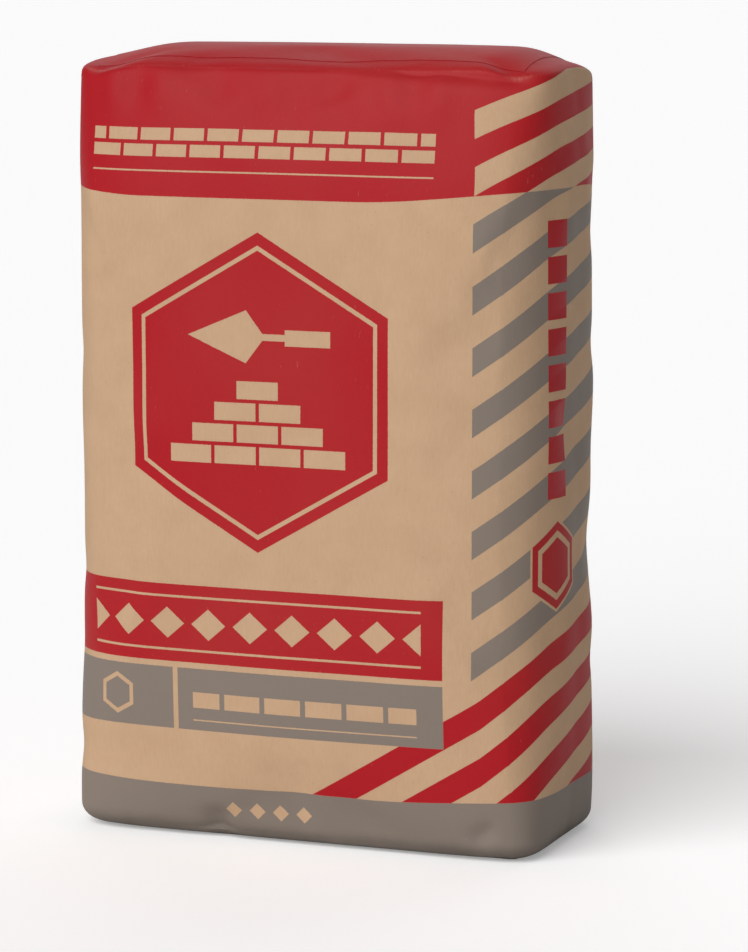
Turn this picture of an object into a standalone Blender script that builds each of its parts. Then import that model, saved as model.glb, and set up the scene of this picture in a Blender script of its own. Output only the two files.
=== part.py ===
"""A filled cement sack: a block-bottom valve sack of kraft paper, standing on its base.

Run it with blender --background --python part.py, or from Blender's text editor.
Metres, +Z up. The origin is on the floor under the middle of the sack, and the
printed front face looks towards -Y. The sack is one tube of paper, folded shut at both
ends around a charge of cement powder. A patch is pasted over each folded end, and a
flat paper sleeve, the filling valve, leads in through the top of the left end.
"""

import math

import bmesh
import bpy
from mathutils import Matrix, Vector

# The filled sack. Its block ends are narrower than the belly between them.
HEIGHT = 0.600
BELLY_WIDTH = 0.388
BELLY_DEPTH = 0.196
END_WIDTH = 0.377
TOP_DEPTH = 0.146
BASE_DEPTH = 0.168

# How square the sack is in plan: 2 is an ellipse, and more is squarer.
END_SQUARENESS = 10.0
BELLY_SQUARENESS = 4.2

# The part of the height, at each end, over which the sack fills out to its belly.
FILLING_OUT = 0.26

# The top is a low cushion: it drops to its long edges and to its short ends.
LONG_EDGE_DROP = 0.008
SHORT_END_DROP = 0.015
SHORT_END_SLOPE = 0.42  # of the half width, over which the short end slopes down

# Paper, and the gap that is left between pieces that touch.
PAPER = 0.0004
GAP = 0.0003

# The powder has settled level, a little below the top.
POWDER_LEVEL = HEIGHT - 0.027

# The patches, pasted over the folded ends.
TOP_PATCH = (0.340, 0.112)
BASE_PATCH = (0.340, 0.136)

# The filling valve: a flattened paper tube that lies on the powder.
SLEEVE_WIDTH = 0.080
SLEEVE_LENGTH = 0.110
SLEEVE_THICKNESS = 0.0024
SLEEVE_LIP = 0.003

# Cells of the cage across the width, the depth and the height, before it is smoothed.
CAGE_CELLS = (10, 6, 10)

# Each piece's colour, as linear red, green and blue, and its roughness.
KRAFT_PRINTED = ((0.420, 0.150, 0.110), 0.60)
KRAFT_PLAIN = ((0.480, 0.310, 0.185), 0.75)
RED_PRINTED = ((0.430, 0.030, 0.040), 0.55)
GREY_PRINTED = ((0.240, 0.195, 0.165), 0.65)
CEMENT_GREY = ((0.300, 0.290, 0.270), 0.95)


def clear_scene():
    """Remove whatever the scene holds."""
    for obj in list(bpy.data.objects):
        bpy.data.objects.remove(obj)


def new_collection(name, hidden=False):
    """A collection linked to the scene, left out of renders if it is hidden."""
    collection = bpy.data.collections.new(name)
    collection.hide_render = hidden
    bpy.context.scene.collection.children.link(collection)
    return collection


def add_object(name, mesh, collection):
    """An object for this mesh, in this collection."""
    obj = bpy.data.objects.new(name, mesh)
    collection.objects.link(obj)
    return obj


def paint(obj, finish):
    """Give the object one plain Principled material of this finish."""
    colour, roughness = finish
    material = bpy.data.materials.new(obj.name)
    material.use_nodes = True
    shader = material.node_tree.nodes["Principled BSDF"]
    shader.inputs["Base Color"].default_value = (*colour, 1.0)
    shader.inputs["Roughness"].default_value = roughness
    shader.inputs["Metallic"].default_value = 0.0
    obj.data.materials.clear()
    obj.data.materials.append(material)


def smooth_step(share):
    """0 up to 0, 1 from 1 on, and a smooth rise between."""
    share = min(1.0, max(0.0, share))
    return share * share * (3.0 - 2.0 * share)


def closer_to_ends(share):
    """A place from -1 to 1, moved towards its end, so that the cells there are small."""
    return math.sin(share * math.pi / 2)


def filled_out(rise):
    """How full the sack is at this share of its height: 0 at its ends, 1 at its belly."""
    from_end = min(rise, 1.0 - rise)
    return math.sqrt(smooth_step(from_end / FILLING_OUT))


def plan_point(across, along, squareness):
    """A point of the square from -1 to 1, drawn in to a square with rounded corners."""
    reach = max(abs(across), abs(along))
    if reach == 0.0:
        return 0.0, 0.0
    size = (abs(across) ** squareness + abs(along) ** squareness) ** (1.0 / squareness)
    return across * reach / size, along * reach / size


def sack_point(across, along, rise):
    """Where a point of the unit box lies on the filled sack.

    across and along run from -1 to 1 over the width and the depth, rise from 0 to 1.
    """
    full = filled_out(rise)
    end_depth = BASE_DEPTH + (TOP_DEPTH - BASE_DEPTH) * rise
    width = END_WIDTH + (BELLY_WIDTH - END_WIDTH) * full
    depth = end_depth + (BELLY_DEPTH - end_depth) * full
    squareness = END_SQUARENESS + (BELLY_SQUARENESS - END_SQUARENESS) * full
    x, y = plan_point(across, along, squareness)
    short_end = smooth_step((abs(across) - 1.0 + SHORT_END_SLOPE) / SHORT_END_SLOPE)
    drop = SHORT_END_DROP * short_end + LONG_EDGE_DROP * along * along
    # The drop belongs to the top, and fades out down the upper third.
    drop *= smooth_step(rise * 3.0 - 2.0)
    underside = PAPER + GAP
    z = underside + (HEIGHT - GAP - PAPER - underside) * rise - drop
    return Vector((x * width / 2, y * depth / 2, z))


def sack_skin():
    """The sack's outer surface: a box cage, shaped and smoothed by one subdivision."""
    box = bmesh.new()
    bmesh.ops.create_cube(box, size=2.0)
    for axis, cells in enumerate(CAGE_CELLS):
        crossing = [
            edge
            for edge in box.edges
            if abs(edge.verts[0].co[axis] - edge.verts[1].co[axis]) > 1e-6
        ]
        bmesh.ops.subdivide_edges(box, edges=crossing, cuts=cells - 1, use_grid_fill=True)
    for vert in box.verts:
        across, along, up = (closer_to_ends(part) for part in vert.co)
        vert.co = sack_point(across, along, (up + 1.0) / 2.0)
    cage = bpy.data.meshes.new("sack_cage")
    box.to_mesh(cage)
    box.free()
    holder = add_object("sack_cage", cage, bpy.context.scene.collection)
    smoothing = holder.modifiers.new("Smoothed", "SUBSURF")
    smoothing.levels = smoothing.render_levels = 1
    graph = bpy.context.evaluated_depsgraph_get()
    skin = bpy.data.meshes.new_from_object(holder.evaluated_get(graph))
    bpy.data.objects.remove(holder)
    stretch_to_size(skin)
    skin.shade_smooth()
    return skin


def stretch_to_size(skin):
    """Smoothing draws the skin in a little: stretch it back to the sack's full size."""
    underside = PAPER + GAP
    top = max(vert.co.z for vert in skin.vertices)
    stretch = (
        BELLY_WIDTH / 2 / max(vert.co.x for vert in skin.vertices),
        BELLY_DEPTH / 2 / max(vert.co.y for vert in skin.vertices),
        (HEIGHT - 2 * underside) / (top - underside),
    )
    on_floor = Matrix.Translation((0, 0, underside))
    skin.transform(on_floor @ Matrix.Diagonal((*stretch, 1.0)) @ on_floor.inverted())


def offset(mesh, distance):
    """Move every point of the mesh outwards by this distance."""
    normals = [vert.normal.copy() for vert in mesh.vertices]
    for vert, normal in zip(mesh.vertices, normals):
        vert.co += normal * distance


def add_box(name, size, centre, collection):
    """A box of this size, with its middle at this point."""
    box = bmesh.new()
    bmesh.ops.create_cube(box, size=1.0, matrix=Matrix.Diagonal((*size, 1.0)))
    bmesh.ops.translate(box, verts=box.verts, vec=centre)
    mesh = bpy.data.meshes.new(name)
    box.to_mesh(mesh)
    box.free()
    return add_object(name, mesh, collection)


def cut(obj, cutter):
    """Cut this cutter's shape out of the object."""
    cutter.hide_render = True
    cutter.display_type = "WIRE"
    boolean = obj.modifiers.new(cutter.name, "BOOLEAN")
    boolean.operation = "DIFFERENCE"
    boolean.object = cutter


def sleeve_middle(skin):
    """Where the middle of the valve sleeve lies: on the powder, with its lip outside."""
    z = POWDER_LEVEL + GAP + SLEEVE_THICKNESS / 2
    near = [vert.co.x for vert in skin.vertices if abs(vert.co.z - z) < 0.01]
    return Vector((min(near) - SLEEVE_LIP + SLEEVE_LENGTH / 2, 0.0, z))


def make_fill(skin, parts, cutters):
    """The powder: a solid that fills the sack up to the powder's level."""
    mesh = skin.copy()
    offset(mesh, -(PAPER + 2 * GAP))
    fill = add_object("cement_fill", mesh, parts)
    room = (2 * BELLY_WIDTH, 2 * BELLY_DEPTH, HEIGHT)
    above = add_box("above_powder", room, (0, 0, POWDER_LEVEL + HEIGHT / 2), cutters)
    cut(fill, above)
    paint(fill, CEMENT_GREY)


def make_sack(skin, sleeve_at, parts, cutters):
    """The paper sack: a thin shell, open only where the valve sleeve passes through."""
    sack = add_object("paper_sack", skin.copy(), parts)
    wall = sack.modifiers.new("Paper", "SOLIDIFY")
    wall.thickness = PAPER
    wall.offset = -1.0
    slot_size = (SLEEVE_LENGTH, SLEEVE_WIDTH + 2 * GAP, SLEEVE_THICKNESS + 2 * GAP)
    slot = add_box("valve_slot", slot_size, sleeve_at, cutters)
    cut(sack, slot)
    paint(sack, KRAFT_PRINTED)


def make_patch(name, skin, size, side, finish, parts):
    """A patch of paper pasted on an end of the sack. side is 1 on top, -1 beneath."""
    mesh = skin.copy()
    patch = bmesh.new()
    patch.from_mesh(mesh)
    other_faces = [face for face in patch.faces if face.normal.z * side < 0.5]
    bmesh.ops.delete(patch, geom=other_faces, context="FACES")
    for direction in ((1, 0, 0), (-1, 0, 0), (0, 1, 0), (0, -1, 0)):
        outwards = Vector(direction)
        edge_at = Vector((outwards.x * size[0] / 2, outwards.y * size[1] / 2, 0))
        everything = patch.verts[:] + patch.edges[:] + patch.faces[:]
        bmesh.ops.bisect_plane(
            patch, geom=everything, plane_co=edge_at, plane_no=outwards, clear_outer=True
        )
    patch.normal_update()
    patch.to_mesh(mesh)
    patch.free()
    offset(mesh, GAP)
    obj = add_object(name, mesh, parts)
    pasted = obj.modifiers.new("Paper", "SOLIDIFY")
    pasted.thickness = PAPER
    pasted.offset = 1.0
    paint(obj, finish)


def make_sleeve(sleeve_at, parts):
    """The valve sleeve: a flat tube of paper, open at both ends."""
    radius = SLEEVE_THICKNESS / 2
    straight = SLEEVE_WIDTH / 2 - radius
    outline = bmesh.new()
    bmesh.ops.create_cone(
        outline,
        segments=12,
        radius1=radius - PAPER / 2,
        radius2=radius - PAPER / 2,
        depth=SLEEVE_LENGTH,
        matrix=Matrix.Rotation(math.pi / 2, 4, "Y") @ Matrix.Rotation(math.pi / 12, 4, "Z"),
    )
    for vert in outline.verts:
        vert.co.y += math.copysign(straight, vert.co.y)
        vert.co += sleeve_at
    mesh = bpy.data.meshes.new("valve_sleeve")
    outline.to_mesh(mesh)
    outline.free()
    sleeve = add_object("valve_sleeve", mesh, parts)
    wall = sleeve.modifiers.new("Paper", "SOLIDIFY")
    wall.thickness = PAPER
    wall.offset = 0.0
    paint(sleeve, KRAFT_PLAIN)


def main():
    """Make the sack and what is in it and on it."""
    clear_scene()
    parts = new_collection("cement_sack")
    cutters = new_collection("cutters", hidden=True)
    skin = sack_skin()
    sleeve_at = sleeve_middle(skin)
    make_fill(skin, parts, cutters)
    make_sack(skin, sleeve_at, parts, cutters)
    make_patch("top_patch", skin, TOP_PATCH, 1, RED_PRINTED, parts)
    make_patch("bottom_patch", skin, BASE_PATCH, -1, GREY_PRINTED, parts)
    make_sleeve(sleeve_at, parts)


main()
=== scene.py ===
"""The looks of a filled cement sack: printed kraft paper, its folds, patches, valve and powder.

Metres, +Z up, the printed front towards -Y. A place on the paper is given by two measures:
how far round the sack it lies from the middle of the front, positive to the right, and how
high it lies. The print, the creases and the dents are all placed by those two.
"""

from __future__ import annotations

import logging
import math
from collections.abc import Callable, Iterator
from contextlib import contextmanager
from dataclasses import dataclass, field
from enum import Enum

import bmesh
import bpy
import numpy as np
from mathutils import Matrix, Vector, noise


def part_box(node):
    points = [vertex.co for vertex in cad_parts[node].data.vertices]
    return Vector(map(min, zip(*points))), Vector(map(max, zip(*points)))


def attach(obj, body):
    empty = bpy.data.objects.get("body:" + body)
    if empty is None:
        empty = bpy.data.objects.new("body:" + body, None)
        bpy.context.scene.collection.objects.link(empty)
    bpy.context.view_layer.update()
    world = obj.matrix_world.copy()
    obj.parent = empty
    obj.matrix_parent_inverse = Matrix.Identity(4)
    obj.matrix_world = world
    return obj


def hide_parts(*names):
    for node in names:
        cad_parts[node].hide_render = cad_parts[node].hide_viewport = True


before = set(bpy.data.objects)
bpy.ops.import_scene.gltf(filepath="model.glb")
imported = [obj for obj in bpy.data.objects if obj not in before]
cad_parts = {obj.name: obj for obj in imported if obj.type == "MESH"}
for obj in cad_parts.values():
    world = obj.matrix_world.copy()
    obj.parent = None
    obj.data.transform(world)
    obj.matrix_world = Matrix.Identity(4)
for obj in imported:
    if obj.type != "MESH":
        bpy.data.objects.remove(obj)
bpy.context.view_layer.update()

Array = np.ndarray
Pair = tuple[float, float]
Place = Pair
Triple = tuple[float, float, float]
Colour = Triple
Settings = dict[str, object]
Inputs = dict[int | str, object]

TINY = 1e-9
ROUNDING = 1e-6
HAIR = 1e-4

log = logging.getLogger("cement_sack")


def smooth_step(share: Array | float) -> Array:
    """A smooth rise from 0 to 1 as the share goes from 0 to 1."""
    share = np.clip(share, 0.0, 1.0)
    return share * share * (3.0 - 2.0 * share)


def between(ends: tuple[Array | float, Array | float], share: Array) -> Array:
    """Values that go from the first end to the second as the share goes from 0 to 1."""
    return ends[0] + (ends[1] - ends[0]) * share


def from_axis(cube: Array) -> Array:
    """How far points of a box from -1 to 1 lie from its upright axis: 1 on a wall, never 0."""
    return np.maximum(np.maximum(abs(cube[:, 0]), abs(cube[:, 1])), TINY)


def at_limit(share: Array) -> Array:
    """Which measures of such a box are at either of their limits."""
    return abs(share) > 1.0 - ROUNDING


def rows_of(items: bpy.types.bpy_prop_collection, name: str) -> Array:
    """A row of three numbers for each item of a mesh.

    Args:
        items: the mesh's points, or their normals.
        name: the property that holds the numbers.

    Returns:
        The rows.
    """
    flat = np.empty(len(items) * 3, np.float32)
    items.foreach_get(name, flat)
    return flat.reshape(-1, 3).astype(np.float64)


def points_of(mesh: bpy.types.Mesh) -> Array:
    """The mesh's points, one row each."""
    return rows_of(mesh.vertices, "co")


def normals_of(mesh: bpy.types.Mesh) -> Array:
    """The outward direction at each of the mesh's points."""
    return rows_of(mesh.vertex_normals, "vector")


def set_points(mesh: bpy.types.Mesh, points: Array) -> None:
    """Moves the mesh's points to these rows."""
    mesh.vertices.foreach_set("co", points.astype(np.float32).ravel())
    mesh.update()


def edge_span(edge: bmesh.types.BMEdge, axis: int) -> float:
    """How far an edge reaches along an axis."""
    return abs(edge.verts[0].co[axis] - edge.verts[1].co[axis])


def only(obj: bpy.types.Object) -> None:
    """Makes this the one selected and active object.

    Args:
        obj: the object.
    """
    bpy.ops.object.select_all(action="DESELECT")
    obj.select_set(True)
    bpy.context.view_layer.objects.active = obj


def twin(obj: bpy.types.Object, name: str) -> bpy.types.Object:
    """A copy of the object with a mesh of its own.

    Args:
        obj: the object.
        name: the name of the copy and of its mesh.

    Returns:
        The copy.
    """
    copy = obj.copy()
    copy.data = obj.data.copy()
    copy.name = name
    copy.data.name = name
    bpy.context.scene.collection.objects.link(copy)
    return copy


def finish_with(obj: bpy.types.Object, kind: str, **settings: object) -> None:
    """Adds a modifier with these settings and applies it.

    Args:
        obj: the object to shape.
        kind: the modifier's type.
        settings: the modifier's own settings.
    """
    only(obj)
    modifier = obj.modifiers.new(kind.title(), kind)
    for name, value in settings.items():
        setattr(modifier, name, value)
    bpy.ops.object.modifier_apply(modifier=modifier.name)


class Editing:
    """Edit mode on one mesh, for the length of a with block."""

    def __init__(self, obj: bpy.types.Object) -> None:
        """Keeps the object that is edited."""
        self.obj = obj

    def __enter__(self) -> Editing:
        """Enters edit mode with nothing selected.

        Returns:
            This object.
        """
        only(self.obj)
        bpy.ops.object.mode_set(mode="EDIT")
        bpy.ops.mesh.select_mode(type="FACE")
        bpy.ops.mesh.select_all(action="DESELECT")
        return self

    def __exit__(self, *_: object) -> None:
        """Leaves edit mode."""
        bpy.ops.object.mode_set(mode="OBJECT")

    @contextmanager
    def selecting(self, kind: str) -> Iterator[bmesh.types.BMesh]:
        """Clears the selection and takes up what a with block then selects.

        Args:
            kind: what is selected, EDGE or FACE.

        Yields:
            The mesh to select in.
        """
        bpy.ops.mesh.select_all(action="DESELECT")
        bpy.ops.mesh.select_mode(type=kind)
        mesh = bmesh.from_edit_mesh(self.obj.data)
        yield mesh
        mesh.select_flush_mode()
        bmesh.update_edit_mesh(self.obj.data)

    def edges(self, test: Callable[[bmesh.types.BMEdge], bool]) -> None:
        """Selects the edges that pass a test, and nothing else.

        Args:
            test: the test of an edge.
        """
        with self.selecting("EDGE") as mesh:
            for edge in mesh.edges:
                edge.select = test(edge)

    def faces(self, test: Callable[[Vector, Vector], bool]) -> None:
        """Selects the faces that pass a test, and nothing else.

        Args:
            test: the test of a face's middle and its normal.
        """
        with self.selecting("FACE") as mesh:
            for face in mesh.faces:
                face.select = test(face.calc_center_median(), face.normal)

    def marked(self, name: str, span: Pair) -> None:
        """Selects the faces whose points' named measure lies in a span, and nothing else.

        Args:
            name: the measure's name.
            span: its least and greatest value.
        """
        with self.selecting("FACE") as mesh:
            measure = mesh.verts.layers.float[name]
            for face in mesh.faces:
                face.select = all(span[0] < vert[measure] < span[1] for vert in face.verts)


@dataclass(frozen=True)
class SackForm:
    """The sack filled tight, before its paper creases.

    It starts as a box from -1 to 1 whose points are placed by their share of the width,
    the depth and the height. Its ends are narrower and squarer than the belly. A pair that
    starts with end is for the base and the top, one that starts with short_end for the
    left and the right of the top.
    """

    height: float = 0.600
    belly_width: float = 0.388
    belly_depth: float = 0.196
    end_widths: Pair = (0.376, 0.3835)
    end_depths: Pair = (0.167, 0.144)
    end_squareness: Pair = (9.0, 6.0)
    belly_squareness: float = 4.2
    filling_out: float = 0.26
    slimming: float = 0.006
    slim_from: float = 0.15
    slim_over: float = 0.35
    long_edge_drop: float = 0.0125
    short_end_drops: Pair = (0.0120, 0.0115)
    short_end_slopes: Pair = (0.36, 0.24)
    front_hold: float = 0.55
    top_rim: float = 0.0065
    base_rim: float = 0.013
    underside: float = 0.0007
    girth: float = 1.042
    spare_length: float = 0.004
    slack_from: float = 0.36
    slack_over: float = 0.28
    outline_steps: int = 800

    def turn(self, inside: Array, below: Array, radius: Array) -> Array:
        """How far the paper has turned over the rim.

        Args:
            inside: how far in from the rim a point of an end lies.
            below: how far from the rim a point of the wall lies, 0 on an end.
            radius: the rim's radius at each point.

        Returns:
            The angle from the wall's direction, up to 90 degrees on an end, in radians.
        """
        half = 45.0
        on_wall = half * np.clip(1.0 - below / radius, 0.0, 1.0)
        on_end = half + half * np.clip(inside / radius, 0.0, 1.0)
        return np.radians(np.where(below > 0.0, on_wall, on_end))

    def top_drop(self, cube: Array) -> Array:
        """How far each point lies below the middle of the top, which is a low cushion.

        Args:
            cube: points of the box.

        Returns:
            The drop at each point, which fades out over the sack's top third.
        """
        across, along, up = cube.T
        drop = self.long_edge_drop * along * along
        # The front corners stand up better than the rear ones.
        held = 1.0 - self.front_hold * np.clip(-along, 0.0, 1.0) ** 2
        for side, deep, slope in zip((-1.0, 1.0), self.short_end_drops, self.short_end_slopes):
            drop = drop + held * deep * smooth_step((across * side - 1.0 + slope) / slope)
        share_of_top_third = 1.5 * (up + 1.0) - 2.0
        return drop * smooth_step(share_of_top_third)

    def place(self, cube: Array) -> Array:
        """Where points of the box lie on the filled sack.

        Args:
            cube: points of the box, from -1 to 1 each way.

        Returns:
            Their places in metres.
        """
        across, along, up = cube.T
        rise = (up + 1.0) / 2.0
        full = np.sqrt(smooth_step(np.minimum(rise, 1.0 - rise) / self.filling_out))
        slim = smooth_step((rise - self.slim_from) / self.slim_over)
        end_width = between(self.end_widths, rise)
        end_depth = between(self.end_depths, rise)
        half_width = between((end_width, self.belly_width), full) / 2.0 * (1.0 - self.slimming * slim)
        half_depth = between((end_depth, self.belly_depth), full) / 2.0
        square = between((between(self.end_squareness, rise), self.belly_squareness), full)
        size = (abs(across) ** square + abs(along) ** square) ** (1.0 / square)
        drawn_in = from_axis(cube) / np.maximum(size, TINY)
        radius = np.where(up > 0.0, self.top_rim, self.base_rim)
        below = (1.0 - abs(up)) / 2.0 * self.height
        wall = below > TINY
        below_rim = np.where(wall, below, 0.0)
        turn_across = self.turn((1.0 - abs(across)) * half_width, below_rim, radius)
        turn_along = self.turn((1.0 - abs(along)) * half_depth, below_rim, radius)
        rim_in = radius * (1.0 - np.cos(np.where(wall, turn_across, math.pi / 4)))
        x = across * drawn_in * half_width * (1.0 - rim_in / half_width)
        y = along * drawn_in * half_depth * (1.0 - rim_in / half_depth)
        over_rim = radius * (1.0 - np.sin(np.minimum(turn_across, turn_along)))
        from_end = np.where(wall & (below >= radius), below, over_rim)
        from_top = self.height - self.underside - from_end
        z = np.where(up > 0.0, from_top, self.underside + from_end) - self.top_drop(cube)
        return np.stack([x, y, z], -1)

    def flat_paper(self, cube: Array) -> Array:
        """The same points on the paper before it is filled.

        Args:
            cube: points of the box.

        Returns:
            Their places on a straight box of the paper's girth and length.
        """
        width = self.end_widths[0]
        size = (width, self.girth / 2.0 - width, self.height + self.spare_length)
        return cube * np.array(size) / 2.0 + np.array((0.0, 0.0, self.height / 2.0))

    def half_way_round(self, up: float) -> tuple[Array, Array]:
        """The paper's measure round the right half of the sack at one level.

        Args:
            up: the level, from -1 to 1.

        Returns:
            Places along the box's outline, 0 at the front's middle to 4 at the back's, and
            the distance round the sack at each.
        """
        outline = np.linspace(0.0, 4.0, self.outline_steps + 1)
        across = np.clip(np.where(outline < 2.0, outline, 4.0 - outline), 0.0, 1.0)
        along = np.clip(outline - 2.0, -1.0, 1.0)
        path = self.place(np.stack([across, along, np.full_like(outline, up)], -1))
        steps = np.linalg.norm(np.diff(path[:, :2], axis=0), axis=1)
        arc = np.concatenate([[0.0], np.cumsum(steps)])
        # The paper has one girth, so what a level lacks is taken up on the side.
        slack = self.girth / 2.0 - arc[-1]
        return outline, arc + slack * smooth_step((arc / arc[-1] - self.slack_from) / self.slack_over)

    def paper_measures(self, cube: Array, placed: Array) -> Array:
        """How far round and how high each point lies on the paper.

        Args:
            cube: points of the box.
            placed: the same points on the filled sack.

        Returns:
            A row of two measures for each point.
        """
        across, along, up = cube.T
        reach = from_axis(cube)
        side, depth = abs(across) / reach, along / reach
        outline = np.where(side >= 1.0, 2.0 + depth, np.where(depth < 0.0, side, 4.0 - side))
        measure = np.empty(len(cube))
        for level in np.unique(up):
            here = up == level
            measure[here] = np.interp(outline[here], *self.half_way_round(level))
        return np.stack([np.where(across < 0.0, -measure, measure), placed[:, 2]], -1)


def round_gap(measure: Array, at: float, girth: float) -> Array:
    """How far round the sack each measure lies from a place, the short way."""
    return (measure - at + girth / 2.0) % girth - girth / 2.0


@dataclass(frozen=True)
class Dent:
    """A soft hollow in the filled paper, or a bulge where its depth is negative."""

    at: Place
    reach: Pair
    deep: float

    def depth(self, paper: Array, girth: float) -> Array:
        """How deep it is at each point.

        Args:
            paper: the points' measures round and up the sack.
            girth: the sack's girth.

        Returns:
            A depth for each point.
        """
        aside = round_gap(paper[:, 0], self.at[0], girth) / self.reach[0]
        above = (paper[:, 1] - self.at[1]) / self.reach[1]
        return self.deep * np.exp(-(aside**2) - above**2)


@dataclass(frozen=True)
class Crease:
    """A straight valley in the paper that fades to its two ends."""

    start: Place
    end: Place
    breadth: float
    deep: float

    def depth(self, paper: Array, girth: float) -> Array:
        """How deep it is at each point.

        Args:
            paper: the points' measures round and up the sack.
            girth: the sack's girth.

        Returns:
            A depth for each point.
        """
        run = np.array(self.end) - np.array(self.start)
        aside = round_gap(paper[:, 0], self.start[0], girth)
        above = paper[:, 1] - self.start[1]
        share = np.clip((aside * run[0] + above * run[1]) / (run @ run), 0.0, 1.0)
        away = np.hypot(aside - share * run[0], above - share * run[1])
        fade = smooth_step(4.0 * share) * smooth_step(4.0 * (1.0 - share))
        return self.deep * fade * np.exp(-((away / self.breadth) ** 2))


@dataclass(frozen=True)
class FootLift:
    """A place where the foot's edge stands a little off the ground."""

    at: float
    reach: float
    high: float
    fades_by: float = 0.016
    edge_from: float = 0.85

    def height(self, cube: Array, paper: Array, girth: float) -> Array:
        """How far each point is lifted.

        Args:
            cube: the points in the box.
            paper: their measures round and up the sack.
            girth: the sack's girth.

        Returns:
            A height for each point.
        """
        aside = round_gap(paper[:, 0], self.at, girth) / self.reach
        at_edge = smooth_step((from_axis(cube) - self.edge_from) / (1.0 - self.edge_from))
        return self.high * at_edge * np.exp(-(aside**2) - (paper[:, 1] / self.fades_by) ** 2)


@dataclass(frozen=True)
class PaperCloth:
    """The paper's own wrinkles: stiff cloth of the flat paper's size, blown out from within.

    The straight paper tube can't follow the swollen form, so it puckers along the rims and
    corners. Only those wrinkles are kept, and the form underneath stays as it is.
    """

    frames: int = 20
    quality: int = 6
    mass: float = 0.2
    pressure: float = 4.0
    stiffness: float = 60.0
    bending: float = 6.0
    damping: float = 20.0
    air_damping: float = 4.0
    smoothing: int = 60
    gain: float = 0.75
    cap: float = 0.0025

    def blow_out(self, skin: bpy.types.Object, flat: Array) -> Array:
        """Simulates a copy of the skin.

        Args:
            skin: the sack's skin on its form.
            flat: the skin's points on the flat paper, whose lengths the cloth keeps.

        Returns:
            The simulated points.
        """
        cloth = twin(skin, "paper_cloth")
        cloth.shape_key_add(name="Filled")
        rest = cloth.shape_key_add(name="Flat paper")
        rest.data.foreach_set("co", flat.astype(np.float32).ravel())
        modifier = cloth.modifiers.new("Cloth", "CLOTH")
        settings = modifier.settings
        settings.quality = self.quality
        settings.mass = self.mass
        settings.tension_stiffness = self.stiffness
        settings.compression_stiffness = self.stiffness
        settings.shear_stiffness = self.stiffness / 2.0
        settings.bending_stiffness = self.bending
        settings.tension_damping = self.damping
        settings.compression_damping = self.damping
        settings.air_damping = self.air_damping
        settings.use_pressure = True
        settings.uniform_pressure_force = self.pressure
        settings.effector_weights.gravity = 0.0
        settings.rest_shape_key = rest
        modifier.point_cache.frame_start = 1
        modifier.point_cache.frame_end = self.frames
        for step in range(1, self.frames + 1):
            bpy.context.scene.frame_set(step)
        evaluated = cloth.evaluated_get(bpy.context.evaluated_depsgraph_get())
        moved = points_of(evaluated.data)
        bpy.data.objects.remove(cloth)
        bpy.context.scene.frame_set(1)
        return moved

    def wrinkles(self, skin: bpy.types.Object, flat: Array) -> Array:
        """The fine part of what the cloth moves, along the skin's normals.

        Args:
            skin: the sack's skin on its form.
            flat: the skin's points on the flat paper.

        Returns:
            How far each point is moved.
        """
        moved = self.blow_out(skin, flat) - points_of(skin.data)
        broad = moved.copy()
        ends = np.empty(len(skin.data.edges) * 2, np.int32)
        skin.data.edges.foreach_get("vertices", ends)
        first, second = ends.reshape(-1, 2).T
        count = np.bincount(np.concatenate([first, second]))[:, None]
        for _ in range(self.smoothing):
            total = np.zeros_like(broad)
            np.add.at(total, first, broad[second])
            np.add.at(total, second, broad[first])
            broad = 0.5 * broad + 0.5 * total / count
        outwards = normals_of(skin.data)
        fine = self.gain * np.sum((moved - broad) * outwards, axis=1, keepdims=True)
        return outwards * self.cap * np.tanh(fine / self.cap)


@dataclass(frozen=True)
class Signal:
    """A number that varies over a surface, worked on with Python's operators."""

    nodes: Nodes
    socket: bpy.types.NodeSocket

    def math(self, operation: str, *others: Signal | float) -> Signal:
        """The result of a Math node on this number and others."""
        inputs = dict(enumerate((self, *others)))
        return self.nodes.signal("ShaderNodeMath", {"operation": operation}, inputs)

    def __add__(self, other: Signal | float) -> Signal:
        """The sum."""
        return self.math("ADD", other)

    __radd__ = __add__

    def __sub__(self, other: Signal | float) -> Signal:
        """The difference."""
        return self.math("SUBTRACT", other)

    def __rsub__(self, other: float) -> Signal:
        """A plain number less this one."""
        return (self * -1.0) + other

    def __mul__(self, other: Signal | float) -> Signal:
        """The product."""
        return self.math("MULTIPLY", other)

    __rmul__ = __mul__

    def __truediv__(self, other: float) -> Signal:
        """This number as a share of a plain one."""
        return self.math("MULTIPLY", 1.0 / other)

    def __neg__(self) -> Signal:
        """The number with its sign turned."""
        return self.math("MULTIPLY", -1.0)

    def __abs__(self) -> Signal:
        """The number without its sign."""
        return self.math("ABSOLUTE")

    def least(self, other: Signal | float) -> Signal:
        """The lower of two: the union of two shapes."""
        return self.math("MINIMUM", other)

    def most(self, other: Signal | float) -> Signal:
        """The higher of two: what two shapes share."""
        return self.math("MAXIMUM", other)

    def floor(self) -> Signal:
        """The whole number below."""
        return self.math("FLOOR")

    def wrap(self, low: float, high: float) -> Signal:
        """The number brought into a range that repeats."""
        return self.math("WRAP", high, low)

    def as_distance(self) -> Signal:
        """A mask as a signed distance, negative where the mask is 0 or less."""
        return (self - 0.5) * 0.01

    def ramp(self, low: float, high: float) -> Signal:
        """A smooth rise, or a fall where high is the lower.

        Args:
            low: the number at which it is 0.
            high: the number at which it is 1.

        Returns:
            The number from 0 to 1.
        """
        turned = high < low
        ends = {0: self, 1: min(low, high), 2: max(low, high)}
        ends |= {3: 1.0 if turned else 0.0, 4: 0.0 if turned else 1.0}
        return self.nodes.signal("ShaderNodeMapRange", {"interpolation_type": "SMOOTHSTEP"}, ends)


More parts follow.
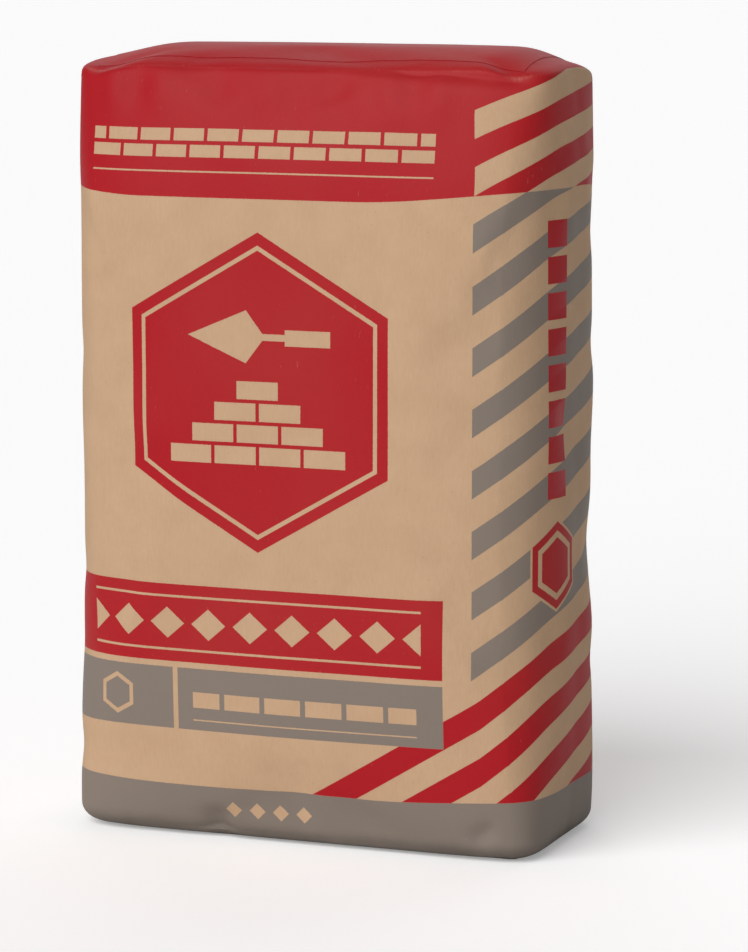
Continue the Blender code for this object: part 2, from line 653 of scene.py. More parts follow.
class Nodes:
    """The nodes of a material or a world."""

    def __init__(self, tree: bpy.types.NodeTree) -> None:
        """Keeps the tree that the nodes are made in."""
        self.tree = tree

    def fill(self, socket: bpy.types.NodeSocket, value: object) -> None:
        """Links a socket to a signal or another socket, or sets it to a value.

        Args:
            socket: the socket.
            value: the signal, the other socket or the value.
        """
        source = value.socket if isinstance(value, Signal) else value
        if isinstance(source, bpy.types.NodeSocket):
            self.tree.links.new(source, socket)
        else:
            socket.default_value = source

    def node(self, kind: str, settings: Settings, inputs: Inputs) -> bpy.types.Node:
        """Makes a node.

        Args:
            kind: the node's type.
            settings: its own settings, which are made first.
            inputs: the value or link of each socket, by its place or name.

        Returns:
            The node.
        """
        made = self.tree.nodes.new(kind)
        for name, value in settings.items():
            setattr(made, name, value)
        for key, value in inputs.items():
            self.fill(made.inputs[key], value)
        return made

    def signal(
        self, kind: str, settings: Settings, inputs: Inputs, output: int | str = 0
    ) -> Signal:
        """One number output of a new node."""
        return Signal(self, self.node(kind, settings, inputs).outputs[output])

    def blend(self, share: Signal, start: object, end: object) -> bpy.types.NodeSocket:
        """A colour between two others.

        Args:
            share: how far it lies from the first to the second.
            start: the first colour, as red, green and blue or as a socket.
            end: the second colour.

        Returns:
            The colour.
        """
        first, last = ((*side, 1.0) if isinstance(side, tuple) else side for side in (start, end))
        inputs = {0: share, 6: first, 7: last}
        return self.node("ShaderNodeMix", {"data_type": "RGBA"}, inputs).outputs[2]

    def point(self) -> bpy.types.NodeSocket:
        """The point on the object."""
        return self.node("ShaderNodeTexCoord", {}, {}).outputs["Object"]

    def place(self, scale: Triple = (1.0, 1.0, 1.0)) -> bpy.types.NodeSocket:
        """The point on the object, stretched by a scale each way."""
        return self.node("ShaderNodeMapping", {}, {"Vector": self.point(), "Scale": scale}).outputs[0]

    def noise(
        self, size: float, stretch: Triple = (1.0, 1.0, 1.0), detail: float = 2.0
    ) -> Signal:
        """Even noise from 0 to 1, by the breadth of its features and its fineness each way."""
        inputs = {"Vector": self.place(stretch), "Scale": 1.0 / size, "Detail": detail}
        return self.signal("ShaderNodeTexNoise", {}, inputs)

    def specks(self, pitch: float, radius: float) -> Signal:
        """Small specks: 1 inside one, 0 between them.

        Args:
            pitch: how far apart the specks lie, in metres.
            radius: a speck's radius as a share of that.

        Returns:
            The mask of the specks.
        """
        inputs = {"Vector": self.place(), "Scale": 1.0 / pitch}
        near = self.signal("ShaderNodeTexVoronoi", {}, inputs)
        return near.ramp(radius, 0.5 * radius)


class Shader(Nodes):
    """A material with a Principled surface, and the nodes it is made of."""

    specular: float = 0.16

    def __init__(self, name: str) -> None:
        """Starts the material.

        Args:
            name: its name.
        """
        self.material = bpy.data.materials.new(name)
        self.material.use_nodes = True
        super().__init__(self.material.node_tree)
        self.surface = self.tree.nodes["Principled BSDF"]

    def cover(self, looks: Inputs) -> bpy.types.Material:
        """Gives the surface its looks.

        Args:
            looks: the value or link of each of the surface's sockets, by name.

        Returns:
            The material.
        """
        for name, value in looks.items():
            self.fill(self.surface.inputs[name], value)
        return self.material

    def finish(
        self, colour: object, roughness: object, height: Signal, depth: float
    ) -> bpy.types.Material:
        """Gives the surface a dull finish with fine relief.

        Args:
            colour: the base colour.
            roughness: the roughness.
            height: relief from 0 to 1.
            depth: how deep that relief is, in metres.

        Returns:
            The material.
        """
        relief = {"Height": height, "Distance": depth, "Strength": 1.0}
        bump = self.node("ShaderNodeBump", {}, relief).outputs[0]
        looks = {"Base Color": colour, "Roughness": roughness, "Normal": bump}
        return self.cover(looks | {"Specular IOR Level": self.specular})


@dataclass(frozen=True)
class Spot:
    """The spot of the paper that is being shaded, by its measures from some place.

    Shapes are drawn about that place, as signed distances that are negative inside them.
    """

    across: Signal
    up: Signal

    def seen_from(self, place: Place) -> Spot:
        """The same spot, measured from another place."""
        return Spot(self.across - place[0], self.up - place[1])

    def oblong(self, size: Pair) -> Signal:
        """A level oblong."""
        return (abs(self.across) - size[0] / 2.0).most(abs(self.up) - size[1] / 2.0)

    def hexagon(self, radius: float) -> Signal:
        """A hexagon that stands on its point, by its inner radius."""
        beside, above = abs(self.across), abs(self.up)
        return beside.most(beside * 0.5 + above * (math.sqrt(3.0) / 2.0)) - radius

    def diamonds(self, size: Pair, pitch: float) -> Signal:
        """A level row of diamonds that goes on both ways."""
        beside = abs(self.across.wrap(-pitch / 2.0, pitch / 2.0))
        return beside * (size[1] / size[0]) + abs(self.up) - size[1] / 2.0

    def bricks(self, size: Pair, joint: float) -> tuple[Signal, Signal]:
        """Running bond that goes on every way, with a joint at the place it is drawn about.

        Args:
            size: a brick's length and height.
            joint: the width of the joints.

        Returns:
            The bricks, and the number of the course, from 0.
        """
        pitch, rise = size[0] + joint, size[1] + joint
        course = (self.up / rise).floor()
        shift = (course * 0.5 - (course * 0.5).floor()) * pitch
        beside = (self.across + shift).wrap(0.0, pitch) - pitch / 2.0
        return Spot(beside, self.up - course * rise - rise / 2.0).oblong(size), course


@dataclass(frozen=True)
class StripeGroup:
    """Slanting stripes that repeat up the sack. Levels are those at the column's left end."""

    lowest_top: float
    period: float
    thickness: float
    first: float
    last: float

    def shape(self, level: Signal) -> Signal:
        """The stripes, as a signed distance.

        Args:
            level: the height along the slant.

        Returns:
            The distance.
        """
        middle = self.lowest_top - self.thickness / 2.0
        half = self.period / 2.0
        stripes = abs((level - middle).wrap(-half, half)) - self.thickness / 2.0
        return stripes.most(level - self.last).most(self.first - level)


@dataclass(frozen=True)
class BrickTrim:
    """A strip of brickwork over a thin rule. Drops are from the strip's middle."""

    at: Place
    size: Pair
    brick: Pair
    joint: float
    course_drop: float
    rule_drop: float
    rule: float

    def shape(self, spot: Spot) -> Signal:
        """The strip and its rule.

        Args:
            spot: the spot on the paper.

        Returns:
            Their signed distance.
        """
        here = spot.seen_from(self.at)
        courses, _ = here.seen_from((0.0, -self.course_drop)).bricks(self.brick, self.joint)
        rule = here.seen_from((0.0, -self.rule_drop)).oblong((self.size[0], self.rule))
        return courses.most(here.oblong(self.size)).least(rule)


@dataclass(frozen=True)
class Trowel:
    """A trowel on its side, pointing left."""

    tip: float = -0.056
    tip_slope: float = 0.42
    heel: float = 0.006
    heel_slope: float = 1.3
    tang_at: float = 0.014
    tang: Pair = (0.020, 0.005)
    handle_at: float = 0.040
    handle: Pair = (0.036, 0.012)

    def shape(self, spot: Spot) -> Signal:
        """Blade, tang and handle.

        Args:
            spot: the spot, measured from a place in the blade.

        Returns:
            Their signed distance.
        """
        from_tip = (spot.across - self.tip) * self.tip_slope
        from_heel = (self.heel - spot.across) * self.heel_slope
        blade = abs(spot.up) - from_tip.least(from_heel)
        tang = spot.seen_from((self.tang_at, 0.0)).oblong(self.tang)
        return blade.least(tang).least(spot.seen_from((self.handle_at, 0.0)).oblong(self.handle))


@dataclass(frozen=True)
class Heap:
    """A stepped heap of bricks, each course a brick shorter than the one under it."""

    brick: Pair = (0.0330, 0.0135)
    joint: float = 0.0028
    courses: int = 4

    def shape(self, spot: Spot) -> Signal:
        """The bricks.

        Args:
            spot: the spot, measured from the middle of the heap's foot.

        Returns:
            Their signed distance.
        """
        bricks, course = spot.bricks(self.brick, self.joint)
        half = (self.courses - course) * ((self.brick[0] + self.joint) / 2.0)
        above_foot = bricks.most(abs(spot.across) - half).most((-course).as_distance())
        return above_foot.most((course - self.courses + 1.0).as_distance())


@dataclass(frozen=True)
class Badge:
    """A hexagon with a trowel, a heap of bricks and a line along its edge left light in it."""

    at: Place = (-0.023, 0.345)
    radius: float = 0.1035
    line_inset: float = 0.010
    line: float = 0.0032
    trowel_rise: float = 0.042
    heap_drop: float = 0.055
    trowel: Trowel = Trowel()
    heap: Heap = Heap()

    def shape(self, spot: Spot) -> Signal:
        """The badge without what is left light.

        Args:
            spot: the spot on the paper.

        Returns:
            Its signed distance.
        """
        here = spot.seen_from(self.at)
        outline = here.hexagon(self.radius)
        line = abs(outline + self.line_inset) - self.line / 2.0
        trowel = self.trowel.shape(here.seen_from((0.0, self.trowel_rise)))
        heap = self.heap.shape(here.seen_from((0.0, -self.heap_drop)))
        return outline.most(-trowel.least(heap).least(line))


@dataclass(frozen=True)
class Layout:
    """The print of one face and the side to its right, which repeats on the other two.

    Shapes are signed distances. Slants are for the base, the belly and the top.
    """

    girth: float = 1.042
    left_end: float = -0.209
    lift_right: Pair = (0.05, 0.205)
    lift_left: float = -0.12
    band_foot: float = 0.4887
    band_lift: float = 0.0095
    base_top: float = 0.0425
    base_lift: float = 0.005
    panel_ends: Pair = (-0.206, 0.1223)
    red_panel: Pair = (0.138, 0.1975)
    grey_panel: Pair = (0.086, 0.1335)
    divider_at: float = -0.0925
    divider: float = 0.004
    column: Pair = (0.1435, 0.312)
    column_lean: float = 0.004
    lean_zone: Pair = (0.50, 0.57)
    slant_start: float = 0.150
    slant_turn: float = 0.204
    slant_bend: float = 0.045
    base_zone: Pair = (0.10, 0.166)
    top_zone: Pair = (0.44, 0.60)
    left_slant: float = 0.61
    front_slants: Triple = (0.80, 0.688, 0.37)
    side_slants: Triple = (0.233, 0.234, 0.100)
    light_stripes: StripeGroup = StripeGroup(0.4785, 0.0412, 0.0208, 0.40, 0.565)
    grey_stripes: StripeGroup = StripeGroup(0.1640, 0.0450, 0.0210, 0.140, 0.52)
    red_stripes: StripeGroup = StripeGroup(0.1240, 0.0433, 0.0218, -0.10, 0.130)
    badge: Badge = Badge()
    small_badge_at: Place = (0.2200, 0.2200)
    small_badge_radius: float = 0.0285
    small_badge_rim: float = 0.002
    small_line_inset: float = 0.008
    small_line: float = 0.0044
    blocks: int = 8
    block: Pair = (0.026, 0.0200)
    block_pitch: float = 0.0265
    blocks_foot: float = 0.267
    row_middle: float = -0.030
    row_length: float = 0.272
    row_pitch: float = 0.034
    row_diamond: Pair = (0.028, 0.024)
    row_rules_at: float = 0.0205
    row_rule: float = 0.0018
    base_row_at: Place = (-0.0205, 0.0245)
    base_row_length: float = 0.072
    base_pitch: float = 0.019
    base_diamond: Pair = (0.0130, 0.0130)
    mark_at: float = -0.143
    mark_radius: float = 0.0125
    mark_line: float = 0.0032
    band_trim: BrickTrim = BrickTrim(
        at=(-0.026, 0.5285),
        size=(0.277, 0.0225),
        brick=(0.0250, 0.0090),
        joint=0.0030,
        course_drop=0.0120,
        rule_drop=0.0210,
        rule=0.0012,
    )
    grey_trim: BrickTrim = BrickTrim(
        at=(0.012, 0.10925),
        size=(0.180, 0.014),
        brick=(0.0290, 0.0120),
        joint=0.0040,
        course_drop=0.0080,
        rule_drop=0.0155,
        rule=0.0010,
    )

    def lift(self, across: Signal) -> Signal:
        """How far the paper's level lines have crept up towards the sides.

        Args:
            across: the measure round the sack.

        Returns:
            A share from 0 to 1.
        """
        quarter = self.girth / 4.0
        level = across.wrap(-quarter, quarter)
        return level.ramp(*self.lift_right) + level.ramp(self.lift_left, -quarter)

    def slant(self, spot: Spot) -> Signal:
        """The height along the stripes' slant, as it is at the column's left end.

        The paper is drawn down at the corner of the top and up at that of the base, so
        the slants differ there from those of the belly.

        Args:
            spot: the spot on the paper.

        Returns:
            The height.
        """
        past = (spot.across - self.slant_start).most(0.0)
        on_front = past.math("SMOOTH_MIN", self.slant_turn - self.slant_start, self.slant_bend)
        before = (spot.across - self.slant_start).least(0.0)
        above_base, near_top = spot.up.ramp(*self.base_zone), spot.up.ramp(*self.top_zone)
        front, side = (
            above_base * (belly - base) + near_top * (top - belly) + base
            for base, belly, top in (self.front_slants, self.side_slants)
        )
        left = above_base * (front - self.left_slant) + self.left_slant
        return spot.up - before * left - on_front * front - (past - on_front) * side

    def panel(self, spot: Spot, levels: Pair) -> Signal:
        """A panel between two levels.

        Args:
            spot: the spot on the paper.
            levels: its lower and upper level.

        Returns:
            The panel.
        """
        middle = (sum(self.panel_ends) / 2.0, sum(levels) / 2.0)
        size = (self.panel_ends[1] - self.panel_ends[0], levels[1] - levels[0])
        return spot.seen_from(middle).oblong(size)

    def diamond_trim(self, spot: Spot) -> Signal:
        """Diamonds between two rules, on the red panel.

        Args:
            spot: the spot on the paper.

        Returns:
            The diamonds and the rules.
        """
        here = spot.seen_from((self.row_middle, sum(self.red_panel) / 2.0))
        row = here.diamonds(self.row_diamond, self.row_pitch)
        rules = abs(abs(here.up) - self.row_rules_at) - self.row_rule / 2.0
        return row.least(rules).most(abs(here.across) - self.row_length / 2.0)

    def base_trim(self, spot: Spot) -> Signal:
        """A short row of diamonds on the grey base.

        Args:
            spot: the spot on the paper.

        Returns:
            The diamonds.
        """
        here = spot.seen_from(self.base_row_at)
        row = here.seen_from((self.base_pitch / 2.0, 0.0))
        row = row.diamonds(self.base_diamond, self.base_pitch)
        return row.most(abs(here.across) - self.base_row_length / 2.0)

    def side_trim(self, spot: Spot) -> Signal:
        """Blocks one above the other and a small badge, over the stripes of the side.

        Args:
            spot: the spot on the paper.

        Returns:
            The blocks and the badge.
        """
        half = self.blocks * self.block_pitch / 2.0
        here = spot.seen_from((self.small_badge_at[0], self.blocks_foot))
        in_block = here.up.wrap(0.0, self.block_pitch) - self.block_pitch / 2.0
        blocks = Spot(here.across, in_block).oblong(self.block).most(abs(here.up - half) - half)
        small = spot.seen_from(self.small_badge_at).hexagon(self.small_badge_radius)
        line = abs(small + self.small_line_inset) - self.small_line / 2.0
        return blocks.least(small.most(-line))

    def red(self, spot: Spot, lift: Signal, end: Signal) -> Signal:
        """All that is printed red.

        Args:
            spot: the spot on the paper.
            lift: how far the level lines have crept up.
            end: 1 on the sack's ends, 0 on its walls.

        Returns:
            The signed distance from it.
        """
        across, up = spot.across, spot.up
        level = self.slant(spot)
        leaning = across + up.ramp(*self.lean_zone) * self.column_lean
        column = (self.column[0] - leaning).most(across - self.column[1])
        light = self.light_stripes.shape(level).most(column).most(end.as_distance())
        light = light.least(self.band_trim.shape(spot))
        band = (self.band_foot - up + lift * self.band_lift).most(-light)
        panel = self.panel(spot, self.red_panel).most(-self.diamond_trim(spot))
        behind = (across - self.panel_ends[1]).most(self.grey_panel[0] - up)
        stripes = self.red_stripes.shape(level).most(-behind).most(across - self.column[1])
        ink = band.least(panel).least(stripes.most(self.base_top - up + lift * self.base_lift))
        return ink.least(self.badge.shape(spot)).least(self.side_trim(spot))

    def grey(self, spot: Spot, lift: Signal) -> Signal:
        """All that is printed grey.

        Args:
            spot: the spot on the paper.
            lift: how far the level lines have crept up.

        Returns:
            The signed distance from it.
        """
        across, up = spot.across, spot.up
        column = (self.column[0] - across).most(across - self.column[1])
        below_band = up - self.band_foot - lift * self.band_lift
        stripes = self.grey_stripes.shape(self.slant(spot)).most(column).most(below_band)
        around = self.small_badge_radius + self.small_badge_rim
        stripes = stripes.most(-spot.seen_from(self.small_badge_at).hexagon(around))
        divider = abs(across - self.divider_at) - self.divider / 2.0
        mark = spot.seen_from((self.mark_at, sum(self.grey_panel) / 2.0)).hexagon(self.mark_radius)
        light = divider.least(abs(mark) - self.mark_line / 2.0).least(self.grey_trim.shape(spot))
        panel = self.panel(spot, self.grey_panel).most(-light)
        base = (up - self.base_top - lift * self.base_lift).most(-self.base_trim(spot))
        return stripes.least(panel).least(base)


class Ground(Enum):
    """What is printed on a piece of paper."""

    LAYOUT = "layout"
    RED = "red"
    GREY = "grey"
    BARE = "bare"


@dataclass(frozen=True)
class PrintedPaper:
    """Kraft paper and the inks on it. Colours are linear red, green and blue."""

    name: str
    ground: Ground
    kraft: Colour = (0.572, 0.376, 0.233)
    kraft_dark: Colour = (0.515, 0.330, 0.199)
    fleck: Colour = (0.200, 0.110, 0.055)
    red_ink: Colour = (0.400, 0.008, 0.014)
    grey_ink: Colour = (0.225, 0.184, 0.154)
    # Lighter rubbed wear on the top's rim and corners, which on the rim is also a painted highlight
    # of the fold.
    worn_and_lit: Colour = (0.640, 0.330, 0.270)
    # Painted shade at the foot of the sack, with some dirt.
    shade_and_dirt: Colour = (0.085, 0.068, 0.056)
    paper_rough: float = 0.66
    ink_rough: float = 0.50
    edge: float = 0.00022
    relief: float = 0.00022
    rough_spread: float = 0.08
    fibre_size: float = 0.0016
    crinkle_size: float = 0.006
    cloud_size: float = 0.030
    broad_size: float = 0.140
    tone_zone: Pair = (0.25, 0.95)
    fleck_pitch: float = 0.0065
    fleck_radius: float = 0.06
    flecked: float = 0.55
    wobble: float = 0.0005
    wobble_size: float = 0.0011
    ink_least: float = 0.94
    ink_spread: float = 0.10
    pinhole_zone: Pair = (0.30, 0.20)
    pinholed: float = 0.22
    # Where the rubbed wear and painted highlight show, and how strongly.
    rub_and_highlight_zone: Pair = (0.30, 1.00)
    rubbed_and_lit: float = 0.30
    # Heights over which the painted shade and dirt of the foot fade in, and their strength.
    shade_and_dirt_zone: Pair = (0.024, 0.003)
    shade_and_dirt_strength: float = 0.70
    layout: Layout = field(default_factory=Layout)

    def paper(self, shader: Shader, fibre: Signal, cloudy: Signal) -> bpy.types.NodeSocket:
        """The bare paper's colour, cloudy and flecked.

        Args:
            shader: the material's shader.
            fibre: fine noise along the paper's fibres.
            cloudy: broader noise.

        Returns:
            The colour.
        """
        tone = (fibre * 0.5 + cloudy * 0.7).ramp(*self.tone_zone)
        plain = shader.blend(tone, self.kraft_dark, self.kraft)
        flecks = shader.specks(self.fleck_pitch, self.fleck_radius) * self.flecked
        return shader.blend(flecks, plain, self.fleck)

    def foot_shade_and_dirt(self, shader: Shader, cloudy: Signal) -> Signal:
        """Painted shade, with some dirt taken up from the ground, darkening the foot of the sack
        towards the floor.
        """
        height = shader.signal("ShaderNodeSeparateXYZ", {}, {0: shader.point()}, 2)
        return (height + cloudy * 0.010).ramp(*self.shade_and_dirt_zone) * self.shade_and_dirt_strength

    def masks(self, shader: Shader) -> tuple[Signal | float, Signal | float]:
        """Where the red and the grey ink lie.

        Args:
            shader: the material's shader.

        Returns:
            The masks of the two, from 0 to 1.
        """
        if self.ground is not Ground.LAYOUT:
            return float(self.ground is Ground.RED), float(self.ground is Ground.GREY)
        wobble = (shader.noise(self.wobble_size, detail=1.0) - 0.5) * self.wobble
        paper = shader.node("ShaderNodeUVMap", {"uv_map": "print"}, {}).outputs[0]
        measures = shader.node("ShaderNodeSeparateXYZ", {}, {0: paper})
        around, up = (Signal(shader, measures.outputs[axis]) + wobble for axis in (0, 1))
        end = shader.signal("ShaderNodeAttribute", {"attribute_name": "end"}, {}, "Fac")
        half_way = self.layout.left_end + self.layout.girth / 2.0
        spot = Spot(around.wrap(self.layout.left_end, half_way), up)
        lift = self.layout.lift(around)
        shapes = self.layout.red(spot, lift, end), self.layout.grey(spot, lift)
        return tuple(shape.ramp(self.edge, -self.edge) for shape in shapes)

    def build(self) -> bpy.types.Material:
        """Makes the material.

        Returns:
            The material.
        """
        shader = Shader(self.name)
        fibre = shader.noise(self.fibre_size, (1.0, 1.0, 0.22), 3.0)
        cloudy = shader.noise(self.cloud_size, detail=3.0)
        bare = self.paper(shader, fibre, cloudy)
        rough = fibre * self.rough_spread + (self.paper_rough - self.rough_spread / 2.0)
        relief = fibre * 0.5 + shader.noise(self.crinkle_size, (1.0, 1.0, 1.6)) * 0.5
        if self.ground is Ground.BARE:
            return shader.finish(bare, rough, relief, self.relief)
        red, grey = self.masks(shader)
        # Lightened along the top's rim and corners: rubbed wear, and on the rim also a painted
        # highlight of the fold.
        wear_and_highlight = shader.signal("ShaderNodeAttribute", {"attribute_name": "wear_and_highlight"}, {}, "Fac")
        rubbed_and_lit = (wear_and_highlight * (fibre + cloudy)).ramp(*self.rub_and_highlight_zone) * self.rubbed_and_lit
        pinholes = fibre.ramp(*self.pinhole_zone) * self.pinholed
        dense = shader.noise(self.broad_size, detail=1.0) * self.ink_spread + self.ink_least
        covered = (1.0 - pinholes) * dense.least(1.0)
        grey_on = shader.blend(covered * grey, bare, self.grey_ink)
        red_on = shader.blend(covered * red, grey_on, self.red_ink)
        rubbed_and_lit_on = shader.blend(rubbed_and_lit, red_on, self.worn_and_lit)
        # The foot is darkened towards the floor with painted shade and some dirt.
        colour = shader.blend(self.foot_shade_and_dirt(shader, cloudy), rubbed_and_lit_on, self.shade_and_dirt)
        rough = rough - (covered * red + covered * grey) * (self.paper_rough - self.ink_rough)
        return shader.finish(colour, rough, relief, self.relief)


@dataclass(frozen=True)
class CementPowder:
    """Fine grey powder with soft lumps."""

    name: str = "cement_powder"
    light: Colour = (0.330, 0.320, 0.300)
    dark: Colour = (0.235, 0.228, 0.212)
    rough: float = 0.95
    relief: float = 0.0012
    lump_size: float = 0.012
    grain_size: float = 0.0009

    def build(self) -> bpy.types.Material:
        """Makes the material.

        Returns:
            The material.
        """
        shader = Shader(self.name)
        lumps = shader.noise(self.lump_size, detail=4.0)
        grain = shader.noise(self.grain_size, detail=2.0)
        colour = shader.blend((lumps * 0.7 + grain * 0.5).ramp(0.3, 0.9), self.dark, self.light)
        rough = grain * 0.06 + (self.rough - 0.04)
        return shader.finish(colour, rough, lumps * 0.6 + grain * 0.4, self.relief)


@dataclass
class Sack:
    """The paper sack: the skin on its form, creased and dented, with seam, valve slot and wall.

    The rubbed wear and painted highlight of the top's rim is its strength and its reach.
    The wear of the corners is its strength, its reach round them and its reach down from the top.
    """

    form: SackForm = field(default_factory=SackForm)
    cloth: PaperCloth = field(default_factory=PaperCloth)
    cells: tuple[int, int, int] = (46, 22, 72)
    gather: Triple = (0.5, 0.5, 0.7)
    paper: float = 0.0004
    seam_at: Pair = (0.76, 0.89)
    seam_step: float = 0.0005
    slot_half: float = 0.0403
    slot_levels: Pair = (0.57304, 0.57596)
    slot_room: float = 0.012
    left_end: float = -0.15
    unevenness: float = 0.0009
    uneven_rate: float = 11.0
    fold_depth: float = 0.0007
    fold_breadth: float = 0.005
    end_give: float = 0.3
    rests_below: float = 0.02
    # The top's rim: rubbed wear that also paints the fold's highlight.
    rim_wear_and_highlight: Pair = (0.42, 0.0028)
    corner_wear: Triple = (0.3, 0.016, 0.030)
    bite: FootLift = FootLift(-0.064, 0.009, 0.0028)
    left_foot: FootLift = FootLift(-0.205, 0.024, 0.0050)

    def marks(self) -> list[Dent | Crease]:
        """The dents, puckers and creases that the filled paper shows.

        Returns:
            The marks.
        """
        bulges, hollows = (-0.150, -0.108, -0.020, 0.076, 0.110), (-0.129, -0.064, 0.030, 0.094)
        puckers = [Dent((at, 0.568), (0.011, 0.020), -0.0024) for at in bulges]
        puckers += [Dent((at, 0.571), (0.011, 0.016), 0.0024) for at in hollows]
        return puckers + [
            # Along the right half of the top's front edge.
            Crease((0.020, 0.593), (0.200, 0.575), 0.006, 0.0040),
            # Across the front, near its right edge.
            Crease((0.090, 0.450), (0.165, 0.446), 0.006, 0.0009),
            Crease((0.090, 0.204), (0.165, 0.206), 0.006, 0.0009),
            # The bite in the foot, and a fold beside its right corner.
            Crease((-0.069, -0.020), (-0.060, 0.030), 0.0055, 0.0080),
            Dent((-0.066, 0.002), (0.013, 0.012), 0.0035),
            Crease((0.140, 0.014), (0.162, 0.030), 0.0060, 0.0040),
            # In the front's left edge.
            Dent((-0.190, 0.366), (0.030, 0.012), 0.0014),
            Dent((-0.190, 0.200), (0.030, 0.010), 0.0014),
            # Across the rear half of the right side.
            Dent((0.310, 0.226), (0.060, 0.030), 0.0042),
            Dent((0.310, 0.375), (0.050, 0.012), 0.0020),
            Dent((0.310, 0.460), (0.050, 0.014), 0.0016),
            Dent((0.310, 0.135), (0.050, 0.010), 0.0014),
            Dent((0.310, 0.300), (0.060, 0.030), 0.0016),
            Dent((0.310, 0.168), (0.060, 0.018), -0.0015),
            # Round the left corner.
            Dent((-0.205, 0.300), (0.050, 0.110), 0.0018),
            Dent((-0.209, 0.062), (0.050, 0.014), 0.0022),
        ]

    def skin_grid(self) -> bpy.types.Object:
        """A box whose walls are divided into even cells.

        Returns:
            The box.
        """
        bpy.ops.object.select_all(action="DESELECT")
        bpy.ops.mesh.primitive_cube_add(size=2.0)
        skin = bpy.context.active_object
        skin.name = "sack_skin"
        with Editing(skin) as edit:
            for axis, cells in enumerate(self.cells):
                edit.edges(lambda edge, axis=axis: edge_span(edge, axis) > 0.01)
                bpy.ops.mesh.subdivide(number_cuts=cells - 1)
        return skin

    def pressed_in(self, paper: Array, placed: Array, on_end: Array) -> Array:
        """How far inwards the paper is pressed.

        Args:
            paper: each point's measures round and up the sack.
            placed: the points on the filled sack.
            on_end: which of them lie on its ends.

        Returns:
            A depth for each point.
        """
        deep = np.zeros(len(paper))
        for mark in self.marks():
            deep += mark.depth(paper, self.form.girth)
        uneven = [noise.noise(Vector(point) * self.uneven_rate) for point in placed]
        deep -= self.unevenness * np.array(uneven)
        # The flat tube's two side folds still show as soft lines.
        aside = abs(abs(paper[:, 0]) - self.form.girth / 4.0)
        deep += self.fold_depth * np.exp(-((aside / self.fold_breadth) ** 2))
        deep[on_end] *= self.end_give
        return deep

    def write_measures(self, mesh: bpy.types.Mesh, paper: Array) -> None:
        """Writes the paper's measures as a UV map.

        Args:
            mesh: the skin's mesh.
            paper: each point's measures round and up the sack.
        """
        corners = np.empty(len(mesh.loops), np.int32)
        mesh.loops.foreach_get("vertex_index", corners)
        left = np.zeros(len(mesh.loops), bool)
        for face in mesh.polygons:
            left[face.loop_start : face.loop_start + face.loop_total] = face.center.x < 0.0
        measures = paper[corners].copy()
        # The middle of the back ends one turn of the paper and starts the next.
        half_way = self.form.girth / 2.0
        behind = abs(measures[:, 0]) > half_way - HAIR
        measures[:, 0] = np.where(behind, np.where(left, -half_way, half_way), measures[:, 0])
        while mesh.uv_layers:
            mesh.uv_layers.remove(mesh.uv_layers[0])
        layer = mesh.uv_layers.new(name="print")
        layer.uv.foreach_set("vector", measures.astype(np.float32).ravel())

    def write_marks(self, mesh: bpy.types.Mesh, cube: Array) -> None:
        """Marks the ends, the worn folds of the top with their painted highlight, and the back with
        its measure across.

        Args:
            mesh: the skin's mesh.
            cube: its points in the box.
        """
        half = np.array((self.form.end_widths[1], self.form.end_depths[1], self.form.height)) / 2.0
        inside = (1.0 - abs(cube)) * half
        on_end = at_limit(cube[:, 2])
        from_rim = np.where(on_end, np.minimum(inside[:, 0], inside[:, 1]), inside[:, 2])
        from_corner = np.hypot(inside[:, 0], inside[:, 1])
        # Along the top's rim, rubbed wear and a painted highlight of the fold.
        worn_and_lit, reach = self.rim_wear_and_highlight
        wear_and_highlight = worn_and_lit * np.exp(-((from_rim / reach) ** 2))
        worn_and_lit, reach, length = self.corner_wear
        wear_and_highlight += worn_and_lit * np.exp(-((from_corner / reach) ** 2) - (from_rim / length) ** 2)
        wear_and_highlight[cube[:, 2] < 0.0] = 0.0
        on_back = at_limit(cube[:, 1]) & (cube[:, 1] > 0.0) & ~on_end
        off_back = -9.0
        marks = {"end": on_end, "wear_and_highlight": wear_and_highlight, "seam": np.where(on_back, cube[:, 0], off_back)}
        for name, values in marks.items():
            attribute = mesh.attributes.new(name, "FLOAT", "POINT")
            attribute.data.foreach_set("value", values.astype(np.float32))

    def shape_skin(self) -> bpy.types.Object:
        """The sack's outer surface, wrinkled and dented, at the density of its cells.

        Returns:
            The skin.
        """
        skin = self.skin_grid()
        cube = points_of(skin.data)
        cube += np.array(self.gather) * (np.sin(cube * math.pi / 2.0) - cube)
        cube = np.where(at_limit(cube), np.sign(cube), cube)
        on_end = at_limit(cube[:, 2])
        placed = self.form.place(cube)
        paper = self.form.paper_measures(cube, placed)
        set_points(skin.data, placed)
        self.write_measures(skin.data, paper)
        self.write_marks(skin.data, cube)
        normals = normals_of(skin.data)
        move = np.zeros_like(placed)
        move += self.cloth.wrinkles(skin, self.form.flat_paper(cube))
        move -= normals * self.pressed_in(paper, placed, on_end)[:, None]
        # The ground keeps the foot level, and the powder's weight holds the underside.
        move[:, 2] *= np.clip(placed[:, 2] / self.rests_below, 0.0, 1.0)
        move[on_end & (cube[:, 2] < 0.0)] *= self.end_give
        points = placed + move
        for lift in (self.bite, self.left_foot):
            points[:, 2] += lift.height(cube, paper, self.form.girth)
        highest = self.form.height - self.form.underside
        points[:, 2] = np.clip(points[:, 2], self.form.underside, highest)
        set_points(skin.data, points)
        return skin

    def raise_seam(self, sack: bpy.types.Object) -> None:
        """Raises the pasted seam, which runs up the back near its right edge.

        Args:
            sack: the sack's skin.
        """
        step = {"value": self.seam_step}
        with Editing(sack) as edit:
            edit.marked("seam", self.seam_at)
            bpy.ops.mesh.extrude_region_shrink_fatten(TRANSFORM_OT_shrink_fatten=step)

